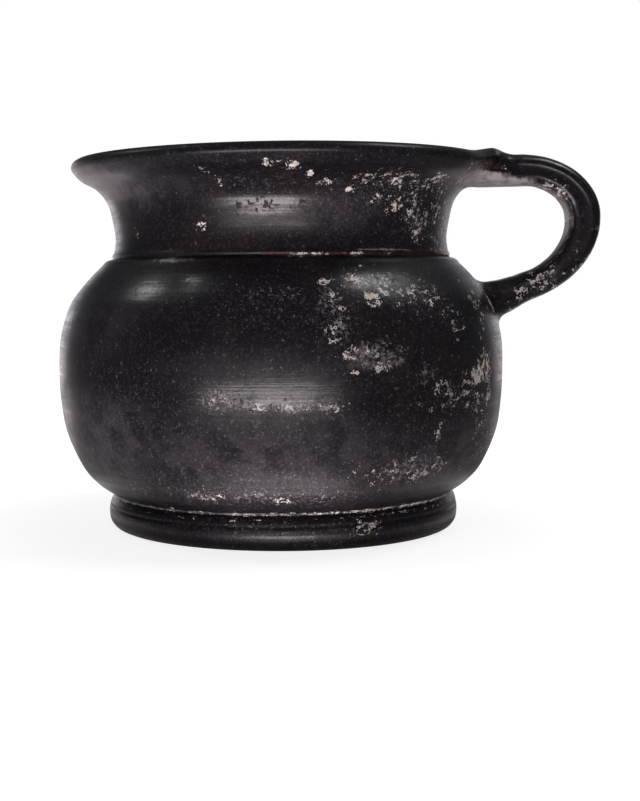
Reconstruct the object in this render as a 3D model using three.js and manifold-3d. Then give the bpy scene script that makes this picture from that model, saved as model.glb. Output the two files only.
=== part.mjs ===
// A squat one-handled jug of black-glossed fired clay: a wheel-thrown body with a wide flaring
// mouth, a moulded foot and one strap handle, all one piece of clay, hollow and empty.
// Millimetres, +Z up. The handle points along +X. The origin lies on the resting plane, under
// the middle of the whole footprint, from the belly's far side to the back of the handle.

import * as THREE from 'three';
import { mergeVertices } from 'three/addons/utils/BufferGeometryUtils.js';
import Module from 'manifold-3d';

// Driving sizes of the turned body
const height = 89.7;
const lipRadius = 51.3;
const neckRadius = 40.8;
const neckHeight = 70.4;
const grooveHeight = 65.9;
const grooveDepth = 0.5;
const shoulderTop = 64.3;
const bellyRadius = 54.75;
const bellyHeight = 39;
const footRadius = 43.4;
const footHeight = 8.2;

// The clay's thickness, which leaves the hollow inside
const bellyWall = 3.4;
const neckWall = 2.9;
const lipThickness = 2.3;
const floorThickness = 4;

// The underside: a flat ring to stand on, round a shallow recess
const restOuterRadius = 41.3;
const restInnerRadius = 35;
const recessDepth = 3;

// Handwork: the foot was set on a touch towards the handle and a little thicker there, the
// mouth rises a little more, and the lip is drawn out and up where the handle joins it
const footShift = 0.4;
const bodyTilt = THREE.MathUtils.degToRad(0.5);
const mouthTilt = THREE.MathUtils.degToRad(0.3);
const lipPull = 4.3;
const lipRaise = 2.4;
const pullHalfAngle = THREE.MathUtils.degToRad(30);

// The strap handle. Its reach is from the body's axis to the middle of the strap's thickness.
const strapWidth = 12.5;
const strapThickness = 8;
const strapReach = 74.7;
const strapRootHeight = 87.5;
const strapBury = 1;

// How finely the round forms are faceted
const turnSegments = 60;
const strapSteps = 30;
const strapSides = 16;

// The whole footprint runs from the belly on one side to the back of the strap on the other
const strapBack = strapReach + strapThickness / 2;
const axisX = (bellyRadius - strapBack) / 2;

// An outline of straight stretches between stations, given as [radius, height]
function angular(stations) {
  return stations.map(([r, z]) => new THREE.Vector2(r, z));
}

// An outline on one smooth curve through its stations
function smooth(stations, divisions) {
  return new THREE.SplineCurve(angular(stations)).getPoints(divisions);
}

// The recessed underside and the resting ring, from the axis outwards
function undersideOutline() {
  return angular([
    [0, recessDepth],
    [restInnerRadius - 3, recessDepth - 0.3],
    [restInnerRadius - 0.8, recessDepth - 1.2],
    [restInnerRadius, 0],
    [restOuterRadius, 0],
  ]);
}

// The foot: a round moulding below, a fine line above it, and a band leaning in to the crease
function footOutline() {
  const lineHeight = 5.6;
  const moulding = smooth([
    [restOuterRadius + 0.9, 0.5],
    [footRadius - 0.3, 1.8],
    [footRadius, 3.7],
    [footRadius - 0.15, lineHeight - 0.3],
  ], 4);
  const band = angular([
    [footRadius - 0.35, lineHeight],
    [footRadius - 0.3, lineHeight + 0.4],
    [footRadius - 0.8, footHeight - 0.9],
    [footRadius - 1.5, footHeight],
  ]);
  return [...moulding, ...band];
}

// The belly, widest below its middle, and the shoulder that draws in to the neck
function bellyOutline() {
  return smooth([
    [footRadius - 1.3, footHeight + 0.4],
    [46.2, 11.4],
    [49.6, 15.4],
    [53.1, 23.4],
    [54.4, 31.2],
    [bellyRadius, bellyHeight],
    [54.3, 46.8],
    [52, 54.6],
    [47.8, 60.4],
    [44, shoulderTop],
  ], 17);
}

// The low collar on the shoulder, and the scraped groove where the neck stands on it
function collarOutline() {
  return angular([
    [43.2, shoulderTop + 0.9],
    [42.2, grooveHeight - 0.3],
    [41.9 - grooveDepth, grooveHeight],
    [41.7, grooveHeight + 0.5],
  ]);
}

// The neck, flaring out to the mouth
function neckOutline() {
  return smooth([
    [neckRadius + 0.4, 67.3],
    [neckRadius, neckHeight],
    [41.3, 74.3],
    [42.6, 79.3],
    [45.4, 82.9],
    [48.9, 84.9],
    [lipRadius - 0.6, height - 3],
  ], 10);
}

// The lip's rounded edge, from its widest line over the top to the inside
function lipOutline() {
  return angular([
    [lipRadius, height - 1.9],
    [lipRadius - 0.25, height - 0.9],
    [lipRadius - 1, height - 0.2],
    [lipRadius - lipThickness * 0.75, height],
    [lipRadius - lipThickness * 1.3, height - 0.4],
  ]);
}

// The inside, from the lip down the neck and round the belly to the middle of the floor
function insideOutline() {
  const floorHeight = recessDepth + floorThickness;
  return smooth([
    [47.2, height - 1.7],
    [43.2, height - 4.6],
    [40, height - 9.2],
    [38.3, 76],
    [neckRadius - neckWall, neckHeight],
    [39.2, 65.6],
    [44.2, 60.3],
    [48.8, 53],
    [bellyRadius - bellyWall, bellyHeight],
    [50.6, 28.5],
    [46.8, 17.6],
    [39.5, 11],
    [27, floorHeight + 0.9],
    [0, floorHeight],
  ], 20);
}

// Finishes a turned form by hand. The foot is off centre, and what stands on it tilts up towards
// the handle. The lip is raised over a short arc, by a bell curve of the angle round the axis,
// and drawn out over a shorter one, by the square of that curve.
function handwork(geometry) {
  const { smoothstep } = THREE.MathUtils;
  const position = geometry.attributes.position;
  for (let i = 0; i < position.count; i += 1) {
    const [x, y, z] = [position.getX(i), position.getY(i), position.getZ(i)];
    const radius = Math.hypot(x, y);
    const turn = Math.min(Math.abs(Math.atan2(y, x)) / pullHalfAngle, 1);
    const bell = Math.cos(turn * Math.PI / 2) ** 2;
    const atLip = smoothstep(z, height - 8, height - 2) * Math.min(radius / neckRadius, 1);
    const stretch = radius > 0 ? 1 + lipPull * bell ** 2 * atLip / radius : 1;
    const shift = footShift * (1 - smoothstep(z, footHeight, bellyHeight));
    const bodyRise = bodyTilt * smoothstep(z, recessDepth, footHeight);
    const mouthRise = mouthTilt * smoothstep(z, grooveHeight, height);
    const raised = z + lipRaise * bell * atLip + x * (bodyRise + mouthRise);
    position.setXYZ(i, x * stretch + shift, y * stretch, raised);
  }
}

// A closed form turned about the upright axis
function turned(outline) {
  const geometry = new THREE.LatheGeometry(outline, turnSegments);
  geometry.rotateX(Math.PI / 2);
  handwork(geometry);
  return geometry;
}

function wallGeometry() {
  return turned([
    ...undersideOutline(),
    ...footOutline(),
    ...bellyOutline(),
    ...collarOutline(),
    ...neckOutline(),
    ...lipOutline(),
    ...insideOutline(),
  ]);
}

// What the strap is cut back by, so that its ends stop inside the wall and don't show within
function coreGeometry() {
  const grown = insideOutline().reverse();
  grown.slice(1).forEach((point) => {
    point.x += strapBury;
  });
  const rim = grown.at(-1).x + lipThickness;
  const top = height + 10;
  return turned([...grown, ...angular([[rim, height], [rim, top], [0, top]])]);
}

// The middle line of the strap, level out of the lip, round in one loop and down to the
// shoulder. Each station is [x from the body's axis, z, width, thickness].
function strapStations() {
  return [
    [44, strapRootHeight, 22, 8],
    [50, strapRootHeight, 18, 8],
    [57, strapRootHeight, 13.6, 7.8],
    [64.2, 87, strapWidth, 7.3],
    [70.3, 84.1, strapWidth, 7.6],
    [73.9, 79.6, strapWidth, strapThickness],
    [strapReach, 75, strapWidth, strapThickness],
    [73.6, 69.9, strapWidth, 7.7],
    [70.1, 64.6, strapWidth, 7.2],
    [65, 60.7, strapWidth, 6.9],
    [59.5, 58.4, 13, 7.2],
    [54.8, 56.4, 14, 8.6],
    [48, 54, 16, 12],
  ];
}

// The strap's outline across: a rounded back, and a flatter inner face between firmer edges.
// Each half is a rounded rectangle, cosine and sine raised to a power below one.
function strapSection(width, thickness) {
  const rounding = (value, power) => Math.sign(value) * Math.abs(value) ** power;
  const section = [];
  for (let i = 0; i < strapSides; i += 1) {
    const angle = (i + 0.5) / strapSides * Math.PI * 2;
    const backwards = Math.cos(angle);
    section.push({
      out: rounding(backwards, backwards < 0 ? 0.45 : 0.75) * thickness / 2,
      side: rounding(Math.sin(angle), 0.6) * width / 2,
    });
  }
  return section;
}

// Carries the section along the middle line, square to it, and closes both ends with a fan
function strapGeometry() {
  const stations = strapStations();
  const middleLine = new THREE.CatmullRomCurve3(stations.map(([x, z]) => new THREE.Vector3(x, 0, z)));
  const sizes = new THREE.CatmullRomCurve3(stations.map(([, , w, t]) => new THREE.Vector3(w, t, 0)));
  const vertices = [];
  const faces = [];
  for (let step = 0; step <= strapSteps; step += 1) {
    const t = step / strapSteps;
    const middle = middleLine.getPoint(t);
    const along = middleLine.getTangent(t);
    const size = sizes.getPoint(t);
    strapSection(size.x, size.y).forEach(({ out, side }) => {
      vertices.push(middle.x - along.z * out, side, middle.z + along.x * out);
    });
  }
  for (let step = 0; step < strapSteps; step += 1) {
    for (let i = 0; i < strapSides; i += 1) {
      const here = step * strapSides + i;
      const beside = step * strapSides + (i + 1) % strapSides;
      faces.push(here, beside + strapSides, beside);
      faces.push(here, here + strapSides, beside + strapSides);
    }
  }
  const last = strapSteps * strapSides;
  for (let i = 1; i < strapSides - 1; i += 1) {
    faces.push(0, i, i + 1);
    faces.push(last, last + i + 1, last + i);
  }
  const geometry = new THREE.BufferGeometry();
  geometry.setAttribute('position', new THREE.Float32BufferAttribute(vertices, 3));
  geometry.setIndex(faces);
  return geometry;
}

const wasm = await Module();
wasm.setup();

// A closed geometry as a solid that can be joined and cut
function solid(geometry) {
  geometry.deleteAttribute('normal');
  geometry.deleteAttribute('uv');
  const merged = mergeVertices(geometry, 1e-4);
  const triangles = [];
  for (let i = 0; i < merged.index.count; i += 3) {
    const [a, b, c] = merged.index.array.slice(i, i + 3);
    if (a !== b && b !== c && c !== a) triangles.push(a, b, c);
  }
  return new wasm.Manifold(new wasm.Mesh({
    numProp: 3,
    vertProperties: new Float32Array(merged.attributes.position.array),
    triVerts: new Uint32Array(triangles),
  }));
}

// A solid's surface as a geometry again
function surface(body) {
  const mesh = body.getMesh();
  const geometry = new THREE.BufferGeometry();
  geometry.setAttribute('position', new THREE.BufferAttribute(new Float32Array(mesh.vertProperties), 3));
  geometry.setIndex(new THREE.BufferAttribute(new Uint32Array(mesh.triVerts), 1));
  geometry.computeVertexNormals();
  return geometry;
}

const strap = solid(strapGeometry()).subtract(solid(coreGeometry()));
const vessel = solid(wallGeometry()).add(strap);

const blackGloss = new THREE.MeshStandardMaterial({ color: 0x17151a, roughness: 0.38, metalness: 0 });
const olpe = new THREE.Mesh(surface(vessel), blackGloss);
olpe.name = 'olpe';
olpe.position.x = axisX;

const model = new THREE.Group();
model.add(olpe);

export default model;
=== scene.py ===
"""The looks of a squat, one-handled jug of black-glossed clay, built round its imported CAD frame.

The jug is one thrown piece: a surface turned about the upright axis, with a strap handle carried
along a loop and joined to it. Its shape repeats the named sizes and stations of the CAD part.
Outlines are worked out in millimetres from the body's axis and put into the mesh in metres.
"""

import math

import bpy
import numpy as np
from bpy.props import FloatProperty, FloatVectorProperty, PointerProperty
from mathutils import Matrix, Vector


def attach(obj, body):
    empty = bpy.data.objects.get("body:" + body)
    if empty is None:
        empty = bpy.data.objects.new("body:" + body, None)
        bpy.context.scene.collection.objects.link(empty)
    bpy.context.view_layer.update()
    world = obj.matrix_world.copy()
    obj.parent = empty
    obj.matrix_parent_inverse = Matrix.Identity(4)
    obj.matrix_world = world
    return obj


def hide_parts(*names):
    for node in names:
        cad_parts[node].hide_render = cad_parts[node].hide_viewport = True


bl_info = {
    "name": "Black-glossed olpe",
    "version": (1, 0, 0),
    "blender": (4, 5, 0),
    "location": "3D View > Sidebar > Olpe",
    "description": "A worn black-glossed jug with a strap handle, and the studio it stands in",
    "category": "Add Mesh",
}

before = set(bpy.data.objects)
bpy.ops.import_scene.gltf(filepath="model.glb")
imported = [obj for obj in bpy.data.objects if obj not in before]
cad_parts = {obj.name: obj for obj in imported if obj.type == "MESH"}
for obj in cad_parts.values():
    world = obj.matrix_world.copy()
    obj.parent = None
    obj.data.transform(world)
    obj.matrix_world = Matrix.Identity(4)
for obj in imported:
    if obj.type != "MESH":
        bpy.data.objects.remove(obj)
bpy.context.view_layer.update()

MM = 0.001
NODE = "olpe"
PIECE = "olpe_glossed"
SEED = 1947

# How closely the outline is stepped, in millimetres along it
STEP_OUTSIDE = 0.58
STEP_LIP = 0.42
STEP_INSIDE = 1.8
STEP_UNDERSIDE = 1.8

# How finely each span between two stations is worked out before it is stepped
SPAN_STEPS = 40

# Steps round the body, round the tool that hollows the strap's ends, along the strap and round it
TURN_STEPS = 288
CORE_STEPS = 120
STRAP_STEPS = 140
STRAP_SIDES = 56

# How many times the joints of the handle are smoothed
SOFTEN_ROUNDS = 60


def length(name, description, default):
    """A size in metres."""
    return FloatProperty(name=name, description=description, default=default, unit="LENGTH", precision=5)


def angle(name, description, degrees):
    """An angle, given in degrees and kept in radians."""
    return FloatProperty(
        name=name, description=description, default=math.radians(degrees), unit="ROTATION"
    )


def share(name, description, default):
    """A number from 0 to 1."""
    return FloatProperty(
        name=name, description=description, default=default, min=0, max=1, subtype="FACTOR"
    )


def tint(name, description, default):
    """A colour as linear red, green and blue."""
    return FloatVectorProperty(
        name=name, description=description, default=default, size=3, min=0, max=1, subtype="COLOR"
    )


def glow(name, description, default):
    """How bright a lamp is, or a surface that lights the jug."""
    return FloatProperty(name=name, description=description, default=default, min=0)


class OlpeShape(bpy.types.PropertyGroup):
    """Sizes of the clay body and its handle."""

    height: length("Height", "The lip above the table", 0.0897)
    lip_radius: length("Lip radius", "The lip's widest line", 0.0513)
    lip_thickness: length("Lip thickness", "The rounded lip across", 0.0023)
    neck_radius: length("Neck radius", "The neck where it is narrowest", 0.0408)
    neck_height: length("Neck height", "Where the neck is narrowest", 0.0704)
    groove_height: length("Groove height", "The scraped groove under the neck", 0.0659)
    groove_depth: length("Groove depth", "How deep the groove is scraped", 0.0005)
    shoulder_top: length("Shoulder top", "Where the shoulder meets the collar", 0.0643)
    belly_radius: length("Belly radius", "The belly's widest line", 0.05475)
    belly_height: length("Belly height", "Where the belly is widest", 0.039)
    belly_wall: length("Belly wall", "The clay's thickness at the belly", 0.0034)
    neck_wall: length("Neck wall", "The clay's thickness at the neck", 0.0029)
    floor_thickness: length("Floor thickness", "The clay's thickness over the recess", 0.004)
    foot_radius: length("Foot radius", "The moulded foot", 0.0434)
    foot_height: length("Foot height", "The moulded foot's height", 0.0082)
    rest_outer: length("Rest outer radius", "Outer edge of the ring it stands on", 0.0413)
    rest_inner: length("Rest inner radius", "Inner edge of the ring it stands on", 0.035)
    recess_depth: length("Recess depth", "The hollow under the foot", 0.003)
    foot_shift: length("Foot shift", "How far off centre the foot is", 0.0004)
    body_tilt: angle("Body tilt", "Rise towards the handle", 0.5)
    mouth_tilt: angle("Mouth tilt", "Further rise of the mouth", 0.3)
    lip_pull: length("Lip pull", "How far the lip is drawn out to the handle", 0.0043)
    lip_raise: length("Lip raise", "How far the lip is raised to the handle", 0.0024)
    pull_half_angle: angle("Pull half angle", "Half the arc of the drawn lip", 30)
    strap_width: length("Strap width", "The handle across", 0.0125)
    strap_thickness: length("Strap thickness", "The handle from back to inner face", 0.008)
    strap_reach: length("Strap reach", "From the body's axis to the handle's middle line", 0.0747)
    strap_root_height: length("Strap root height", "Where the handle leaves the lip", 0.0875)
    seam_softness: length("Seam softness", "How wide the joints of the handle are smoothed", 0.0042)


class OlpeFinish(bpy.types.PropertyGroup):
    """Colours and surface of the fired gloss and its wear."""

    gloss: tint("Gloss", "The black gloss", (0.0066, 0.0056, 0.0084))
    gloss_warm: tint("Gloss, warm", "The gloss where it fired browner", (0.0150, 0.0108, 0.0112))
    # Also the colour of painted highlight lines along the collar
    rubbed: tint("Rubbed gloss", "Gloss dulled and greyed by wear", (0.075, 0.072, 0.078))
    clay: tint("Clay", "The bare red-brown clay", (0.085, 0.026, 0.018))
    # Also paints sheen: the floor's reflection on the lower belly and under the lip on the left
    veil: tint("Veil", "The even grey of dulled gloss", (0.098, 0.089, 0.106))
    crust: tint("Crust", "Pale lime left from the ground", (0.86, 0.83, 0.81))
    cream: tint("Cream crust", "Lime stained by the clay", (0.84, 0.73, 0.59))
    dust: tint("Dust", "Fine grey lime dust", (0.62, 0.59, 0.61))
    # Also the colour of the painted highlight lines along the collar
    film: tint("Film", "The thin grey lime film", (0.50, 0.455, 0.465))
    sheen_roughness: share("Gloss roughness", "Roughness of the gloss under its polish", 0.42)
    worn_roughness: share("Worn roughness", "Roughness of rubbed gloss", 0.50)
    chalk_roughness: share("Chalk roughness", "Roughness of crust and bare clay", 0.85)


class OlpeStudio(bpy.types.PropertyGroup):
    """Lamps, floor and camera."""

    low_lamp: glow("Low lamp", "Glow of the table in front", 8.6)
    table_near: glow("Table, near", "Glow of the table round the foot", 0.24)
    table_far: glow("Table, far", "Glow of the table further out", 0.10)
    left_lamp: glow("Left lamp", "Lamps over the left shoulder", 4.8)
    right_lamp: glow("Right lamp", "Lamp over the right shoulder", 5.5)
    surround: glow("Surround", "White wall behind", 1.75)
    gloom: glow("Gloom", "The dark room behind the camera", 0.06)
    lens: FloatProperty(name="Lens", description="Focal length in millimetres", default=62.7, min=1)


# Outlines and curves


def smooth(stations, steps):
    """A smooth curve through the stations. Between two of them it is the cubic that leaves each
    station along half the step between that station's neighbours."""
    knots = np.array(stations, float)
    last = len(knots) - 1
    place = np.linspace(0, last, steps + 1)
    here = np.minimum(place.astype(int), last - 1)
    before, start, end, after = (knots[np.clip(here + k, 0, last)] for k in (-1, 0, 1, 2))
    return cubic(start, end, (end - before) / 2, (after - start) / 2, (place - here)[:, None])


def cubic(start, end, leave, arrive, part):
    """The cubic from start to end that leaves and arrives with the given velocities."""
    third = 2 * start - 2 * end + leave + arrive
    second = 3 * end - 3 * start - 2 * leave - arrive
    return ((third * part + second) * part + leave) * part + start


def eased(stations, steps):
    """As smooth, but each span takes the square root of its length in the curve's parameter, so
    that a tight bend doesn't overshoot."""
    knots = np.array(stations, float)
    knots = np.vstack([2 * knots[0] - knots[1], knots, 2 * knots[-1] - knots[-2]])
    spans = len(knots) - 3
    place = np.linspace(0, spans, steps + 1)
    here = np.minimum(place.astype(int), spans - 1)
    p0, p1, p2, p3 = (knots[here + k] for k in range(4))
    pairs = ((p0, p1), (p1, p2), (p2, p3))
    d0, d1, d2 = (np.sqrt(np.linalg.norm(b - a, axis=1))[:, None] for a, b in pairs)
    d1 = np.where(d1 < 1e-4, 1.0, d1)
    d0 = np.where(d0 < 1e-4, d1, d0)
    d2 = np.where(d2 < 1e-4, d1, d2)
    leave = ((p1 - p0) / d0 - (p2 - p0) / (d0 + d1) + (p2 - p1) / d1) * d1
    arrive = ((p2 - p1) / d1 - (p3 - p1) / (d1 + d2) + (p3 - p2) / d2) * d1
    return cubic(p1, p2, leave, arrive, (place - here)[:, None])


def spaced(outline, step):
    """The same outline with its points an even step apart, both ends kept."""
    outline = np.array(outline, float)
    along = np.concatenate([[0], np.cumsum(np.linalg.norm(np.diff(outline, axis=0), axis=1))])
    count = max(int(round(along[-1] / step)), 1)
    even = np.linspace(0, along[-1], count + 1)
    return np.stack([np.interp(even, along, outline[:, k]) for k in (0, 1)], axis=1)


def smoothstep(value, low, high):
    """0 below low, 1 above high, and three t squared less two t cubed between them."""
    t = np.clip((value - low) / (high - low), 0, 1)
    return t * t * (3 - 2 * t)


def bell(value, middle, half, power=2):
    """1 at the middle, and 1/e at half to either side of it: the exponential of less the distance
    in halves, raised to an even power."""
    return np.exp(-(((value - middle) / half) ** power))


def millimetres(shape):
    """The shape's sizes by name, its lengths in millimetres and its angles in radians."""
    units = {"LENGTH": MM, "ROTATION": 1}
    kinds = shape.bl_rna.properties
    return {name: getattr(shape, name) / units[kinds[name].unit] for name in OlpeShape.__annotations__}


def underside_outline(s):
    """The recess and the flat resting ring, from near the axis outwards."""
    recess = smooth(
        [
            (0.4, s["recess_depth"]),
            (s["rest_inner"] - 12, s["recess_depth"]),
            (s["rest_inner"] - 3, s["recess_depth"] - 0.3),
            (s["rest_inner"] - 0.8, s["recess_depth"] - 1.2),
            (s["rest_inner"], 0),
        ],
        steps=60,
    )
    ring = [(s["rest_inner"], 0), (s["rest_outer"], 0)]
    return [spaced(recess, STEP_UNDERSIDE), spaced(ring, STEP_UNDERSIDE)[1:]]


def foot_outline(s):
    """A round moulding, a fine line cut above it, and a band leaning in to the crease."""
    radius, top = s["foot_radius"], s["foot_height"]
    moulding = smooth(
        [
            (s["rest_outer"], 0),
            (s["rest_outer"] + 0.9, 0.5),
            (radius - 0.3, 1.8),
            (radius, 3.7),
            (radius - 0.15, 5.3),
            (radius - 0.42, 5.55),
        ],
        steps=60,
    )
    band = smooth(
        [(radius - 0.42, 5.55), (radius - 0.3, 5.95), (radius - 0.8, top - 0.9), (radius - 1.6, top)],
        steps=40,
    )
    return [spaced(moulding, STEP_LIP)[1:], spaced(band, STEP_LIP)[1:]]


def belly_outline(s):
    """The belly, widest below its middle, and the shoulder drawn in to the collar."""
    belly = smooth(
        [
            (s["foot_radius"] - 1.6, s["foot_height"] + 0.05),
            (s["foot_radius"] - 0.9, s["foot_height"] + 0.6),
            (46.2, 11.4),
            (49.6, 15.4),
            (53.1, 23.4),
            (54.4, 31.2),
            (s["belly_radius"], s["belly_height"]),
            (54.3, 46.8),
            (52, 54.6),
            (47.8, 60.4),
            (44, s["shoulder_top"]),
        ],
        steps=600,
    )
    return [spaced(belly, STEP_OUTSIDE)[1:]]


def collar_outline(s):
    """The low collar, and the scraped groove where the neck stands on it."""
    groove = s["groove_height"]
    collar = smooth(
        [(44, s["shoulder_top"]), (43.2, s["shoulder_top"] + 0.9), (42.2, groove - 0.3)],
        steps=30,
    )
    cut = smooth(
        [
            (42.2, groove - 0.3),
            (41.9 - s["groove_depth"], groove),
            (41.7, groove + 0.5),
            (s["neck_radius"] + 0.4, 67.3),
        ],
        steps=40,
    )
    return [spaced(collar, STEP_LIP)[1:], spaced(cut, STEP_LIP)[1:]]


def mouth_outline(s):
    """The neck flaring to the rounded lip, over it, and down the inside to the middle of the floor."""
    height, radius, thick = s["height"], s["lip_radius"], s["lip_thickness"]
    neck = [
        (s["neck_radius"] + 0.4, 67.3),
        (s["neck_radius"], s["neck_height"]),
        (41.3, 74.3),
        (42.6, 79.3),
        (45.4, 82.9),
        (48.9, 84.9),
        (radius - 0.6, height - 3),
    ]
    lip = [
        (radius, height - 1.9),
        (radius - 0.25, height - 0.9),
        (radius - 1, height - 0.2),
        (radius - thick * 0.75, height),
        (radius - thick * 1.3, height - 0.4),
    ]
    inside = [
        (47.2, height - 1.7),
        (43.2, height - 4.6),
        (40, height - 9.2),
        (38.3, 76),
        (s["neck_radius"] - s["neck_wall"], s["neck_height"]),
        (39.2, 65.6),
        (44.2, 60.3),
        (48.8, 53),
        (s["belly_radius"] - s["belly_wall"], s["belly_height"]),
        (50.6, 28.5),
        (46.8, 17.6),
        (39.5, 11),
        (27, s["recess_depth"] + s["floor_thickness"] + 0.9),
        (0, s["recess_depth"] + s["floor_thickness"]),
    ]
    spans = len(neck) + len(lip) + len(inside) - 1
    whole = smooth(neck + lip + inside, spans * SPAN_STEPS)
    over_neck, over_lip = (len(neck) - 1) * SPAN_STEPS, (len(neck) + len(lip)) * SPAN_STEPS
    down = spaced(whole[over_lip:], STEP_INSIDE)
    return [
        spaced(whole[: over_neck + 1], STEP_OUTSIDE)[1:],
        spaced(whole[over_neck : over_lip + 1], STEP_LIP)[1:],
        down[1:-1],
    ]


def handwork(points, s):
    """What was done by hand after turning. The foot is off centre, and what stands on it rises
    towards the handle. The lip is raised over a short arc, by the squared cosine of the angle from
    the handle, and drawn out by the square of that curve."""
    pull_starts, pull_full = s["height"] - 8, s["height"] - 2
    x, y, z = points.T
    radius = np.hypot(x, y)
    turn = np.minimum(np.abs(np.arctan2(y, x)) / s["pull_half_angle"], 1)
    lift = np.cos(turn * np.pi / 2) ** 2
    at_lip = smoothstep(z, pull_starts, pull_full) * np.minimum(radius / s["neck_radius"], 1)
    stretch = 1 + s["lip_pull"] * lift**2 * at_lip / np.maximum(radius, 1e-6)
    shift = s["foot_shift"] * (1 - smoothstep(z, s["foot_height"], s["belly_height"]))
    rise = s["body_tilt"] * smoothstep(z, s["recess_depth"], s["foot_height"])
    rise = rise + s["mouth_tilt"] * smoothstep(z, s["groove_height"], s["height"])
    raised = z + s["lip_raise"] * lift * at_lip + x * rise
    return np.stack([x * stretch + shift, y * stretch, raised], axis=1)


def closed_tube(rings, sides, flipped=False):
    """Faces of a closed tube: quads from each ring of points to the next, and a fan from a pole to
    each end ring. The two poles are the last two points. Flipped, they face the other way."""
    ring, step = np.meshgrid(np.arange(rings - 1), np.arange(sides), indexing="ij")
    here, beside = ring * sides + step, ring * sides + (step + 1) % sides
    quads = np.stack([here, beside, beside + sides, here + sides], axis=2).reshape(-1, 4)
    first, last = np.arange(sides), (rings - 1) * sides + np.arange(sides)
    start, end = (np.full(sides, rings * sides + k) for k in (0, 1))
    start_fan = np.stack([start, np.roll(first, -1), first], axis=1)
    end_fan = np.stack([end, last, np.roll(last, -1)], axis=1)
    fans = np.vstack([start_fan, end_fan])
    if flipped:
        quads, fans = quads[:, [0, 3, 2, 1]], fans[:, [0, 2, 1]]
    return quads.tolist() + fans.tolist()


def turned(outline, segments, low_pole, high_pole):
    """A closed surface turned about the upright axis. The outline's point (r, z) at the turn a
    goes to (r cos a, r sin a, z). Both ends are closed by a fan to a point on the axis."""
    outline = np.array(outline, float)
    turn = np.arange(segments) / segments * 2 * np.pi
    grid = np.stack(
        [
            outline[:, None, 0] * np.cos(turn),
            outline[:, None, 0] * np.sin(turn),
            np.broadcast_to(outline[:, None, 1], (len(outline), segments)),
        ],
        axis=2,
    ).reshape(-1, 3)
    points = np.vstack([grid, [(0, 0, low_pole), (0, 0, high_pole)]])
    return points, closed_tube(len(outline), segments)


def inner_floor(s):
    """The height of the floor inside, at the middle."""
    return s["recess_depth"] + s["floor_thickness"]


def wall(s):
    """The thrown wall: every outline in turn, from the underside over the lip to the floor inside."""
    runs = underside_outline(s) + foot_outline(s) + belly_outline(s) + collar_outline(s) + mouth_outline(s)
    points, faces = turned(np.vstack(runs), TURN_STEPS, s["recess_depth"], inner_floor(s))
    return handwork(points, s), faces


def core(s):
    """What the strap is cut back by: the inside grown a little, and open upwards."""
    growth, overshoot = 1.0, 10
    grown = mouth_outline(s)[2][::-1] + np.array([growth, 0.0])
    rim = grown[-1][0] + s["lip_thickness"]
    top = s["height"] + overshoot
    outline = np.vstack([grown, [(rim, s["height"]), (rim, top)]])
    points, faces = turned(outline, CORE_STEPS, inner_floor(s), top)
    return handwork(points, s), faces


def rounded(value, power):
    """The value's size raised to a power, with its sign kept."""
    return np.sign(value) * np.abs(value) ** power


def strap_section():
    """The strap's section, as how far out and how far sideways each of its points is, from -1 to
    1. It is a rounded rectangle: cosine and sine, each raised to a power below one, with a flatter
    inner face and a rounder back. A shallow hollow runs along each side."""
    flat_face, round_back, round_side = 0.45, 0.75, 0.6
    hollow_depth, hollow_place, hollow_half = 0.08, 0.05, 0.25
    turn = (np.arange(STRAP_SIDES) + 0.5) / STRAP_SIDES * 2 * np.pi
    cosine, sine = np.cos(turn), np.sin(turn)
    out = rounded(cosine, np.where(cosine < 0, flat_face, round_back))
    side = rounded(sine, round_side)
    return out, side * (1 - hollow_depth * bell(out, hollow_place, hollow_half))


def strap(s):
    """The strap handle: its section carried square along its middle line. Both ends are closed by
    a fan. Each station is [x from the body's axis, height, width, thickness]."""
    width, thick, root = s["strap_width"], s["strap_thickness"], s["strap_root_height"]
    stations = [
        (44, root, 22, 8),
        (50, root, 18, 8),
        (57, root, 13.6, 7.8),
        (64.2, 87, width, 7.3),
        (70.3, 84.1, width, 7.6),
        (73.9, 79.6, width, thick),
        (s["strap_reach"], 75, width, thick),
        (73.6, 69.9, width, 7.7),
        (70.1, 64.6, width, 7.2),
        (65, 60.7, width, 6.9),
        (59.5, 58.4, 13, 7.2),
        (54.8, 56.4, 14, 8.6),
        (48, 54, 16, 12),
    ]
    middle = eased([(x, z) for x, z, _, _ in stations], STRAP_STEPS)
    sizes = eased([(w, t) for _, _, w, t in stations], STRAP_STEPS)
    along = np.gradient(middle, axis=0)
    along = along / np.linalg.norm(along, axis=1)[:, None]
    out, side = strap_section()
    out = out * sizes[:, None, 1] / 2
    points = np.stack(
        [
            middle[:, None, 0] - along[:, None, 1] * out,
            side * sizes[:, None, 0] / 2,
            middle[:, None, 1] + along[:, None, 0] * out,
        ],
        axis=2,
    ).reshape(-1, 3)
    poles = [(middle[end][0], 0, middle[end][1]) for end in (0, -1)]
    return np.vstack([points, poles]), closed_tube(STRAP_STEPS + 1, STRAP_SIDES, flipped=True)


# Meshes


def axis_x(s):
    """How far the body's axis is from the middle of the whole footprint."""
    return (s["belly_radius"] - s["strap_reach"] - s["strap_thickness"] / 2) / 2


def placed(name, points, faces, s):
    """A mesh object from points in millimetres from the body's axis."""
    mesh = bpy.data.meshes.new(name)
    moved = (points + np.array([axis_x(s), 0, 0])) * MM
    mesh.from_pydata(moved.tolist(), [], faces)
    mesh.update()
    made = bpy.data.objects.new(name, mesh)
    bpy.context.scene.collection.objects.link(made)
    return made


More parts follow.
